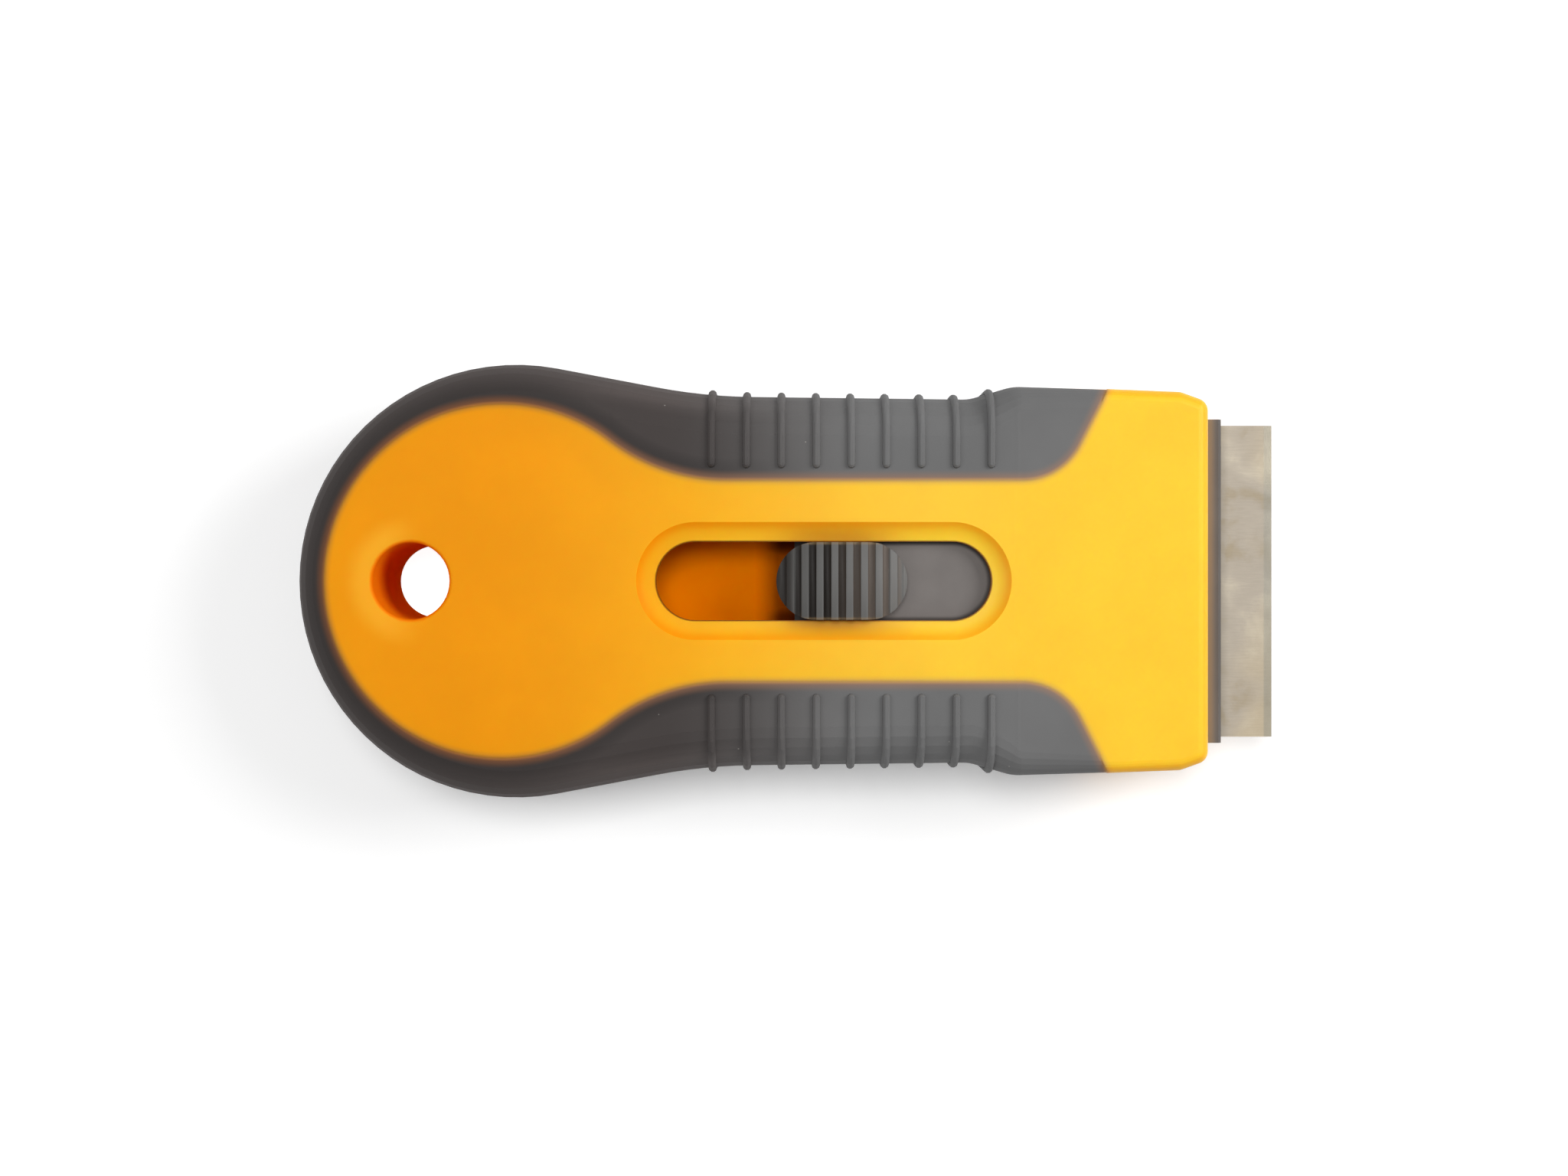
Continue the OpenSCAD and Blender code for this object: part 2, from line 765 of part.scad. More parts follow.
// Latch spring: screwed under the channel, pressed down by the button's stem
module latch_spring() {
    color(steel) at_mid() difference() {
        union() {
            bar_of([[leaf_x3, plate_z], [leaf_x2, plate_z], [leaf_x1, leaf_z], [leaf_x0, leaf_z],
                [leaf_x0, leaf_z - leaf_t], [leaf_x1 + leaf_t / 2, leaf_z - leaf_t],
                [leaf_x2 + leaf_t / 2, plate_z - leaf_t], [leaf_x3, plate_z - leaf_t]], leaf_w);
            box_of(leaf_x0, leaf_x0 + bar_w, -tip_w / 2, tip_w / 2, leaf_z - leaf_t, leaf_z);
            both_sides() box_of(leaf_x0, leaf_x0 + bar_w, tip_w / 2 - tip_t, tip_w / 2,
                leaf_z - leaf_t, tip_z);
        }
        at_latch_screws() translate([0, 0, -over])
            cylinder(r = latch_screw_r + side_clear / 2, h = leaf_t + 2 * over);
    }
}

module latch_screws() {
    color(zinc) at_mid() at_latch_screws() {
        cylinder(r = latch_screw_r, h = leaf_t + latch_thread_len);
        translate([0, 0, -latch_head_t]) cylinder(r = latch_head_r, h = latch_head_t);
    }
}

module clamp_screws() {
    color(zinc) at_mid() at_clamp_screws() {
        cylinder(r = clamp_screw_r, h = clamp_screw_len);
        cylinder(r = clamp_head_r, h = clamp_head_t);
    }
}

module housing_screws() {
    color(zinc) at_mid() both_sides() for (p = screw_places) translate([p.x, p.y, seat_z]) {
        difference() {
            translate([0, 0, -screw_head_t]) cylinder(r = screw_head_r, h = screw_head_t);
            translate([0, 0, -screw_head_t - over])
                cylinder(r = screw_socket_r, h = screw_socket_t + over, $fn = socket_fn);
        }
        cylinder(r = screw_r, h = screw_len - screw_point_len);
        translate([0, 0, screw_len - screw_point_len])
            cylinder(r1 = screw_r, r2 = screw_r / 2, h = screw_point_len);
    }
}

upper_shell();
lower_shell();
upper_grip();
lower_grip();
blade_carrier();
blade_clamp();
blade();
blade_spine();
thumb_button();
latch_spring();
latch_screws();
clamp_screws();
housing_screws();
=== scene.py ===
import math

import bmesh
import bpy
from bpy.props import FloatProperty, FloatVectorProperty, PointerProperty
from mathutils import Matrix, Vector


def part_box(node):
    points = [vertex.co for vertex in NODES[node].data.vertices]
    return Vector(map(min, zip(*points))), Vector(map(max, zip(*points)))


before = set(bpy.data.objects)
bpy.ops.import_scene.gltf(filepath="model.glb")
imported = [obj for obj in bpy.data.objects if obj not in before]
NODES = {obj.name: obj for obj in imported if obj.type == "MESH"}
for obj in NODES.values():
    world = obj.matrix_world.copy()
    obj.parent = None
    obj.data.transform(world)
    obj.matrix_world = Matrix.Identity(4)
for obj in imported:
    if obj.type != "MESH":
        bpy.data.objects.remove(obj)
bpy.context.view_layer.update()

bl_info = {
    "name": "Razor blade scraper",
    "version": (1, 0, 0),
    "blender": (4, 5, 0),
    "location": "3D View > Sidebar > Scraper",
    "description": "Dresses the blade scraper: shells, grips, button, carrier, blade and stage",
    "category": "Object",
}

MM = 0.001
WHITE = (1, 1, 1, 1)

# Edges: pieces' doubled corners are welded, and edges sharper than this angle are rounded
WELD = 0.001 * MM
EDGE_ANGLE = math.radians(40)
EDGE_STEPS = 2

# Floor and camera
FLOOR_HALF = 2.0
SENSOR = 36
NEAREST = 10 * MM

# Each fade below holds where it starts, where it ends and, unless they are 0 and 1, the shares there.

# Two-shot handle, along X from the hang hole to the nose. These fades are painted shade: the handle end is
# darker, where less light falls.
PANEL_FADE = (-40 * MM, 22 * MM)  # rear yellow to front yellow
GRIP_FADE = (-18 * MM, 13 * MM)  # rear grey to front grey
GRIP_SHADE_FADE = (6 * MM, -14 * MM)  # where painted shade darkens the grip towards the handle end
SEAM_FADE = (-40 * MM, 20 * MM)  # rear to front tone of the seam
SEAM_TONE = (*SEAM_FADE, 0.4, 1.0)
# The same, by the depth inside the grip's outline or by height
GRIP_SHADE_DEPTH = (5.5 * MM, 1 * MM, 0.0, 0.62)
GRIP_SHADE_RISE = (17.2 * MM, 18.5 * MM, 0.0, 0.42)
SEAM_DEPTH = (-0.9 * MM, 0.1 * MM, 0.0, 0.45)
THIN_SHARE = 0.75

# Yellow inside the handle, as seen through the slot: by height, by the distance from the middle and by X
INSIDE_TOP = (15.9 * MM, 15.6 * MM)
INSIDE_FLOOR = (5 * MM, 6 * MM)
INSIDE_SIDE = (9 * MM, 8.6 * MM)
INSIDE_FRONT = (30 * MM, 28 * MM)
SHADE_FADE = (-4.4 * MM, -1.6 * MM, 0.0, 0.72)  # painted shadow on the slot's floor towards the button
CORNER_FADE = (-4.5 * MM, -1 * MM)  # and painted shadow in its corners there
CORNER_SIDE = (0.5 * MM, 4.7 * MM)

# Yellow that leans, by the normal's Z, which is over LEVEL where it counts as flat, and by X on the nose
LEVEL = 0.99
LEAN = (LEVEL, 0.78)
NOSE_LEAN = (40 * MM, 34 * MM, 0.6, 1.0)

# Slot wall, by the distance from the slot's outline and by height
WALL_REACH = (0.2 * MM, 0.04 * MM)
WALL_RISE = (15.2 * MM, 15.7 * MM, 0.0, 0.85)
# Painted shade of the button on the slot's rim, by the distance along X, by the one across, and by height
RIM_SHADE_CORE = 1 * MM
RIM_SHADE_SIDE = (7.8 * MM, 5.2 * MM)
RIM_SHADE_RISE = (15.9 * MM, 16.5 * MM, 0.0, 0.6)

# Hang hole's painted shade, by height, and its rim's painted highlight, by the distance from its wall and
# from its middle along X
BORE_DEPTH = (18.4 * MM, 3 * MM)
BORE_FOOT = (0.8 * MM, 2 * MM)
BORE_RIM = 0.5 * MM
HIGHLIGHT_WIDTH = (3.9 * MM, 1 * MM)
HIGHLIGHT_SIDE = (2 * MM, -4 * MM, 0.0, 0.75)

# Carrier: by X from its front edge, by X from its rear end, by the distance from the slot's outline, and by Z
LIP_REFLECTION = (-3.6 * MM, -3 * MM)
LIP_REFLECTION_END = (-0.5 * MM, -1.6 * MM, 0.0, 0.7)
LIP_EDGE_SHADE = (-1.5 * MM, -0.4 * MM, 0.0, 0.42)
PLATE_SHADE = (2.2 * MM, 1.2 * MM, 0.0, 0.9)
RING_INNER = (-0.6 * MM, -0.05 * MM)
RING_OUTER = (1 * MM, 0.4 * MM)
RING_RISE = (15.9 * MM, 16.1 * MM, 0.0, 0.9)

# Button: by the share of its length, by X from its rear end, by the depth under its crown, and from its side
GROOVE_TONE = (0.25, 0.9, 0.6, 4.8)
RIDGE_TONE = (0.1, 1.0, 0.53, 0.78)
REAR_SHADE = (2.4 * MM, 1.4 * MM, 0.0, 0.9)
GROOVE_SHADE = (0.08 * MM, 0.4 * MM)
CAP_REFLECTION = (-0.4 * MM, -0.1 * MM, 0.0, 0.5)

# Blade: by X from its edge, and by X from the lip that shades it
BEVEL = (-1.15 * MM, -0.85 * MM, 0.0, 0.55)
LIP_SHADE = (0.0, 1.6 * MM, 0.72, 1.0)

# Patterns: grains per metre, each from a real size
FLOW_GRAIN = 90  # flow marks of the ABS, 11 mm wide
SHELL_GRAIN = 4000  # its mould's spark-eroded grain, 0.1 mm, drawn at 0.25 mm so that it shows
CLOUD_GRAIN = 60  # handling marks on the rubber, 17 mm
RUBBER_GRAIN = 3300  # its mould's grain, 0.3 mm
DUST_GRAIN = 260  # specks on it, 0.2 mm across and 4 mm apart
MOTTLE_GRAIN = 140  # mottle of the polypropylene, 7 mm
PLASTIC_GRAIN = 4500  # its mould's grain, 0.2 mm
PATCH_GRAIN = 60  # clean patches of the blade, 17 mm
SMUDGE_GRAIN = 170  # its smudges, 6 mm
GROUND_GRAIN = (500, 5200, 1)  # its grinding marks, 2 mm long and 0.2 mm apart
DRAWN_GRAIN = (6000, 600, 6000)  # drawn lines of the other steel, 1.7 mm long and 0.2 mm apart

# Their tones, most of them over the middle part of the noise, where most of its values lie
MIDDLE = (0.3, 0.7)
FLOW_TONE = (*MIDDLE, 0.97, 1.03)
CLOUD_TONE = (*MIDDLE, 0.93, 1.07)
MOTTLE_TONE = (*MIDDLE, 0.92, 1.07)
GROUND_TONE = (*MIDDLE, 0.975, 1.025)
DRAWN_TONE = (*MIDDLE, 0.92, 1.06)
PATCHES = (0.42, 0.6)
PALE_SMEARS = (0.5, 0.75, 0.0, 0.7)
STAINS = (0.45, 0.28, 0.0, 0.7)
SPECKS = (0.018, 0.034, 0.35, 0.0)

# Bumps: strength and depth
SHELL_BUMP = (0.12, 0.02 * MM)
RUBBER_BUMP = (0.25, 0.03 * MM)
PLASTIC_BUMP = (0.2, 0.02 * MM)
GROUND_BUMP = (0.08, 0.004 * MM)

# Gloss: roughness, over the noise where it changes, and specular level
SHELL_ROUGHNESS = (0.0, 1.0, 0.38, 0.48)
RUBBER_ROUGHNESS = (0.0, 1.0, 0.62, 0.74)
PLASTIC_ROUGHNESS = 0.5
GROUND_ROUGHNESS = (*MIDDLE, 0.17, 0.24)
BRIGHT_ROUGHNESS, SPRING_ROUGHNESS, ROUGHNESS_RISE = 0.25, 0.35, 0.15
SHELL_GLOSS = (-16 * MM, 22 * MM, 0.03, 0.2)  # from the handle end, which is rubbed dull, to the nose
MATTE_GLOSS = 0.2

# Light that goes through the ABS: its share, the reach of red, green and blue, and their depth
GLOW_SHARE = 0.5
GLOW_REACH = (1.0, 0.4, 0.08)
GLOW_DEPTH = 2.5 * MM

# Floor: the glow under the hang hole, by the distance from its wall, and the far one, from the tool
HOLE_GLOW = (2 * MM, 0.5 * MM)
FAR_GLOW = (90 * MM, 250 * MM)
# Middle of each softbox, in metres
LAMPS = {"key": (0.33, 0.12, 0.26), "fill": (-0.30, 0.0, 0.30), "top": (-0.04, 0.12, 0.58)}


def linear(code):
    """The linear RGB colour of an sRGB hex code."""
    channels = [int(code[i:i + 2], 16) / 255 for i in (1, 3, 5)]
    return tuple(c / 12.92 if c <= 0.04045 else ((c + 0.055) / 1.055) ** 2.4 for c in channels)


def rgba(colour):
    return (*colour, 1.0)


def size_prop(name, description, default):
    return FloatProperty(name=name, description=description, default=default, unit="LENGTH")


def colour_prop(name, description, code):
    return FloatVectorProperty(name=name, description=description, default=linear(code),
                               subtype="COLOR", size=3, min=0, max=1)


def power_prop(name, description, default):
    return FloatProperty(name=name, description=description, default=default, unit="POWER")


class ScraperSizes(bpy.types.PropertyGroup):
    """Where the bare panel meets the grips, where painted shade and tones lie, and how edges are finished."""
    panel_x: size_prop("Panel middle", "Middle of the panel's round end", -34.9 * MM)
    panel_r: size_prop("Panel radius", "Radius of the panel's round end", 21.45 * MM)
    band: size_prop("Band half width", "Half the width of the panel between the grips", 12.2 * MM)
    sweep_x: size_prop("Sweep middle", "Middle of the hollow curve behind the ribs", -7.59 * MM)
    sweep_r: size_prop("Sweep radius", "Radius of the hollow curve behind the ribs", 23.5 * MM)
    tongue_x: size_prop("Tongue corner", "Corner where the grip turns up to the flank", 32.9 * MM)
    tongue_r: size_prop("Tongue radius", "Radius of that corner", 8 * MM)
    tongue_angle: FloatProperty(name="Tongue angle", description="Slope of the grip's front end",
                                default=math.radians(63), subtype="ANGLE")
    feather: size_prop("Feather", "Width over which the grip thins out onto the panel", 0.8 * MM)
    tint: size_prop("Tint", "Width over which the panel still shows through the thin grip", 1.3 * MM)
    crease_x: size_prop("Crease", "Where the flat top starts to fall to the nose", 27.1 * MM)
    crease: size_prop("Crease width", "Length over which that bend is eased", 22 * MM)
    fall: FloatProperty(name="Fall", description="Slope of the top towards the nose", default=0.0502)
    hole_x: size_prop("Hole middle", "Middle of the hang hole", -45.9 * MM)
    hole_r: size_prop("Hole radius", "Radius of the hang hole", 4.65 * MM)
    slot_x0: size_prop("Slot start", "Rear end of the thumb slot", -16.3 * MM)
    slot_x1: size_prop("Slot end", "Front end of the thumb slot", 24.4 * MM)
    slot_r: size_prop("Slot radius", "Half the width of the thumb slot", 4.775 * MM)
    # Painted shade of the button on the slot's rim: its middle and half its length
    rim_shade_x: size_prop("Smear middle", "Middle of the thumb's smear along the tool", 5.5 * MM)
    smear: size_prop("Smear", "Half the length of the thumb's smear", 11 * MM)
    crown_r: size_prop("Crown radius", "Radius of the thumb button's crown", 18.456 * MM)
    edge: size_prop("Edge rounding", "Rounding of moulded edges", 0.1 * MM)


class ScraperColours(bpy.types.PropertyGroup):
    """Colours of the finishes."""
    # Painted shade: the rear yellow is darker than the front one, as less light falls on the handle end
    yellow_rear: colour_prop("Yellow, rear", "ABS at the handle end", "#f19b10")
    yellow_front: colour_prop("Yellow, front", "ABS at the blade end", "#ffc72c")
    orange: colour_prop("Yellow in the slot", "ABS inside the handle, lit by its own walls", "#ff8600")
    # Painted shade: the hang hole's wall is deeper orange deep down
    hole_top: colour_prop("Hole wall, top", "ABS wall of the hang hole near its rim", "#f87706")
    hole_low: colour_prop("Hole wall, low", "ABS wall of the hang hole deep down", "#ff6600")
    # Painted highlight on the hang hole's rounded rim at the handle end
    hole_highlight: colour_prop("Hole rim", "Rubbed pale yellow beside the hang hole", "#fcb42c")
    slot_edge: colour_prop("Slot edge", "Shaded wall of the slot", "#5a2606")
    # Painted shadow of the button and the carrier on the slot's floor
    slot_shade: colour_prop("Slot shade", "Grime on the slot's floor where the button rests", "#642604")
    steep: colour_prop("Steep panel", "Tone of the panel where it faces its own yellow rim", "#ffe07a")
    # Painted shade of the button on the slot's rim
    smear: colour_prop("Thumb smear", "Grime on the slot's rim", "#b4660c")
    # The seam colour is the pinkish brown that the panel takes along the grip
    seam: colour_prop("Seam", "Dirt on the panel along the grip", "#bc7c61")
    # Painted shade: the thin grip's rear tint is darker, as less light falls on the handle end
    tinted: colour_prop("Thin grip", "Grip where the panel shows through it", "#92725e")
    tinted_rear: colour_prop("Thin grip, rear", "The same at the handle end", "#7a4c2c")
    # Painted shade: the rear grey is darker than the front one, as less light falls on the handle end
    grip_rear: colour_prop("Grip, rear", "Soft rubber at the handle end", "#4e4745")
    grip_front: colour_prop("Grip, front", "Soft rubber at the blade end", "#686868")
    dust: colour_prop("Dust", "Specks on the rubber", "#b9b4ae")
    # Painted shade: in the button's grooves and at its rear end, and on the carrier where its plate ends,
    # along the slot's outline and at the lip's front edge
    shade_brown: colour_prop("Grime", "Dirt between the button's ridges", "#2b2622")
    carrier: colour_prop("Carrier", "Moulded grey of the carrier and the jaws", "#706b68")
    # Painted reflection of the yellow on the jaws' lip and on the button's edge
    yellow_reflection: colour_prop("Rubbed carrier", "Brown on the jaws' lip beside the mouth", "#8b7350")
    button: colour_prop("Button", "Moulded grey of the thumb button", "#737270")
    blade: colour_prop("Blade", "Ground carbon steel under an oil film", "#bcae95")
    blade_cool: colour_prop("Blade, cool", "Clean patches of the blade", "#b2a899")
    blade_pale: colour_prop("Blade, pale", "Wiped smears on the blade", "#c6bca6")
    blade_stain: colour_prop("Blade, stain", "Brown stains on the blade", "#a8997f")
    blade_edge: colour_prop("Blade, edge", "Ground bevel of the blade", "#8f8e84")
    steel: colour_prop("Steel", "Bright zinc plating", "#b4b6b8")
    spring: colour_prop("Spring steel", "Blued spring strip", "#3a3836")
    floor: colour_prop("Floor", "Matte white table", "#f4f4f4")


class ScraperStage(bpy.types.PropertyGroup):
    """Camera and light."""
    camera_x: size_prop("Camera X", "Where the camera stands along the tool", -0.765 * MM)
    camera_y: size_prop("Camera Y", "Where the camera stands across the tool", -0.85 * MM)
    camera_z: size_prop("Camera height", "Height of the camera over the table", 249.58 * MM)
    lens: FloatProperty(name="Lens", description="Focal length in mm", default=43.91)
    ambient: FloatProperty(name="Ambient", description="Strength of the light from all round", default=0.24)
    key: power_prop("Key light", "Power of the softbox beside the blade", 1.15)
    fill: power_prop("Fill light", "Power of the softbox beside the handle end", 0.3)
    top: power_prop("Top light", "Power of the softbox over the camera", 1.25)
    softbox: size_prop("Softbox", "Width of each softbox", 0.2)
    floor_glow: FloatProperty(name="Floor glow", description="Light that the floor adds for the camera",
                              default=0.24)
    full_glow: FloatProperty(name="Full glow", description="The same under the hole and far from the lamps",
                             default=0.94)


def sizes():
    return bpy.context.scene.scraper_sizes


def colours():
    return bpy.context.scene.scraper_colours


def add(tree, kind, inputs=(), **settings):
    """A node of that kind with its settings, and its inputs set or linked."""
    made = tree.nodes.new(kind)
    for name, value in settings.items():
        setattr(made, name, value)
    for key, value in dict(inputs).items():
        if isinstance(value, bpy.types.NodeSocket):
            tree.links.new(value, made.inputs[key])
        else:
            made.inputs[key].default_value = value
    return made


def material(name):
    """A new material with its shader and the object's coordinates."""
    made = bpy.data.materials.new(name)
    made.use_nodes = True
    tree = made.node_tree
    tree.nodes.clear()
    shader = add(tree, "ShaderNodeBsdfPrincipled")
    add(tree, "ShaderNodeOutputMaterial", {"Surface": shader.outputs[0]})
    place = add(tree, "ShaderNodeTexCoord").outputs["Object"]
    return made, tree, shader, place


def multiplied(tree, colour, tone):
    """A colour made lighter or darker by a tone of about one."""
    return add(tree, "ShaderNodeMix", {0: 1.0, 6: colour, 7: tone}, data_type="RGBA",
               blend_type="MULTIPLY").outputs[2]


def blended(tree, share, first, second):
    """The first colour where the share is zero and the second where it is one."""
    return add(tree, "ShaderNodeMix", {0: share, 6: first, 7: second}, data_type="RGBA").outputs[2]


def mixed(tree, share, first, second):
    """The first number where the share is zero and the second where it is one."""
    return add(tree, "ShaderNodeMix", {0: share, 2: first, 3: second}).outputs[0]


def ramp(tree, value, low, high, at_low=0.0, at_high=1.0, soft=True):
    """A value's way from low to high, eased at both ends when it is soft."""
    kind = "SMOOTHSTEP" if soft else "LINEAR"
    return add(tree, "ShaderNodeMapRange", {0: value, 1: low, 2: high, 3: at_low, 4: at_high},
               interpolation_type=kind).outputs[0]


def maths(tree, operation, first, second=0.0):
    return add(tree, "ShaderNodeMath", {0: first, 1: second}, operation=operation).outputs[0]


def product(tree, first, *others):
    for other in others:
        first = maths(tree, "MULTIPLY", first, other)
    return first


def vector_maths(tree, operation, first, second=(0, 0, 0), output="Vector"):
    return add(tree, "ShaderNodeVectorMath", {0: first, 1: second}, operation=operation).outputs[output]


def distance(tree, place, centre):
    return vector_maths(tree, "DISTANCE", place, centre, "Value")


def noise(tree, place, scale, detail=2.0, **more):
    """Noise whose grains are about one metre over the scale in width."""
    inputs = {"Vector": place, "Scale": scale, "Detail": detail, **more}
    return add(tree, "ShaderNodeTexNoise", inputs).outputs[0]


def streaks(tree, place, scale, detail):
    """Noise with its own number of grains per metre along each axis."""
    return noise(tree, add(tree, "ShaderNodeMapping", {0: place, 3: scale}).outputs[0], 1.0, detail)


def bumped(tree, shader, height, strength, depth, normal=None):
    """Sends a height to the shader as a bump of that depth in metres."""
    bump = add(tree, "ShaderNodeBump", {"Height": height, "Strength": strength, "Distance": depth})
    if normal:
        tree.links.new(normal, bump.inputs["Normal"])
    tree.links.new(bump.outputs[0], shader.inputs["Normal"])


def coordinates(tree, place):
    """X, the distance from the lengthwise middle plane, and Z."""
    split = add(tree, "ShaderNodeSeparateXYZ", {0: place}).outputs
    return split[0], maths(tree, "ABSOLUTE", split[1]), split[2]


def from_above(tree, x, side):
    """A point in the plane that the tool is seen on from above."""
    return add(tree, "ShaderNodeCombineXYZ", {0: x, 1: side}).outputs[0]


def level_of(tree):
    """One where the surface lies flat, and less the more it leans."""
    normal = add(tree, "ShaderNodeNewGeometry").outputs["Normal"]
    return maths(tree, "ABSOLUTE", add(tree, "ShaderNodeSeparateXYZ", {0: normal}).outputs[2])


def grip_depth(tree, place):
    """How far a point lies inside the grip's outline seen from above, and below zero on the panel."""
    s = sizes()
    x, side, _ = coordinates(tree, place)
    flat = from_above(tree, x, side)
    along = Vector((math.cos(s.tongue_angle), math.sin(s.tongue_angle), 0))
    across = Vector((-along.y, along.x, 0))
    corner = Vector((s.tongue_x, s.band, 0))
    half = (math.pi - s.tongue_angle) / 2
    middle = corner + (along - Vector((1, 0, 0))).normalized() * s.tongue_r / math.sin(half)
    sweep = Vector((s.sweep_x, s.band + s.sweep_r, 0))
    meet_x = s.panel_x + (s.sweep_x - s.panel_x) * s.panel_r / (s.panel_r + s.sweep_r)
    rear = maths(tree, "SUBTRACT", distance(tree, flat, (s.panel_x, 0, 0)), s.panel_r)
    hollow = maths(tree, "SUBTRACT", s.sweep_r, distance(tree, flat, sweep))
    band = maths(tree, "SUBTRACT", side, s.band)
    turn = maths(tree, "SUBTRACT", s.tongue_r, distance(tree, flat, middle))

    def past(start, direction):
        gap = vector_maths(tree, "SUBTRACT", flat, start)
        return vector_maths(tree, "DOT_PRODUCT", gap, direction, "Value")

    slope = past(corner, across)
    depth = rear
    for value, start, then in ((x, meet_x, hollow), (x, s.sweep_x, band), (x, middle.x, turn),
                               (past(middle, along), 0.0, slope)):
        depth = mixed(tree, maths(tree, "GREATER_THAN", value, start), depth, then)
    return depth


def two_shot_colour(tree, place, flow):
    """The panel's yellow, the grip's grey, and the grip's share, which thins out over the seam."""
    c, s = colours(), sizes()
    x, _, z = coordinates(tree, place)
    depth = grip_depth(tree, place)
    # Painted shade: the yellow, the seam's tone and the grey darken towards the handle end
    yellow = blended(tree, ramp(tree, x, *PANEL_FADE), rgba(c.yellow_rear), rgba(c.yellow_front))
    yellow = multiplied(tree, yellow, flow)
    # The panel turns pinkish brown along the grip
    seam = multiplied(tree, rgba(c.seam), ramp(tree, x, *SEAM_TONE))
    yellow = blended(tree, ramp(tree, depth, *SEAM_DEPTH), yellow, seam)
    grey = blended(tree, ramp(tree, x, *GRIP_FADE), rgba(c.grip_rear), rgba(c.grip_front))
    # Towards the handle end, painted shade darkens the grip's flat top and its edge beside the panel
    grip_shade = maths(tree, "MAXIMUM", ramp(tree, depth, *GRIP_SHADE_DEPTH), ramp(tree, z, *GRIP_SHADE_RISE))
    grip_shade = product(tree, ramp(tree, x, *GRIP_SHADE_FADE), grip_shade)
    grey = multiplied(tree, grey, maths(tree, "SUBTRACT", 1.0, grip_shade))
    # The panel shows through the grip where it is thin, in a tint that darkens towards the handle end as
    # painted shade
    tinted = blended(tree, ramp(tree, x, *SEAM_FADE), rgba(c.tinted_rear), rgba(c.tinted))
    skin = blended(tree, ramp(tree, depth, 0.0, s.tint, THIN_SHARE, 0.0), grey, tinted)
    return yellow, skin, ramp(tree, depth, -s.feather / 2, s.feather / 2)


def slot_reach(tree, place):
    """How far a point lies outside the slot's outline seen from above, in metres."""
    s = sizes()
    x, side, _ = coordinates(tree, place)
    along = maths(tree, "MINIMUM", maths(tree, "MAXIMUM", x, s.slot_x0 + s.slot_r), s.slot_x1 - s.slot_r)
    return maths(tree, "SUBTRACT", distance(tree, from_above(tree, x, side), from_above(tree, along, 0.0)),
                 s.slot_r)


def eased_normal(tree, place):
    """The surface normal with the bend on top, where the nose starts to fall, spread over a soft curve."""
    s = sizes()
    x = coordinates(tree, place)[0]
    normal = add(tree, "ShaderNodeNewGeometry").outputs["Normal"]
    flat = maths(tree, "GREATER_THAN", level_of(tree), LEVEL)
    wanted = ramp(tree, x, s.crease_x - s.crease / 2, s.crease_x + s.crease / 2)
    lift = maths(tree, "SUBTRACT", wanted, maths(tree, "GREATER_THAN", x, s.crease_x))
    tilt = add(tree, "ShaderNodeCombineXYZ", {0: product(tree, lift, flat, s.fall)}).outputs[0]
    return vector_maths(tree, "NORMALIZE", vector_maths(tree, "ADD", normal, tilt))


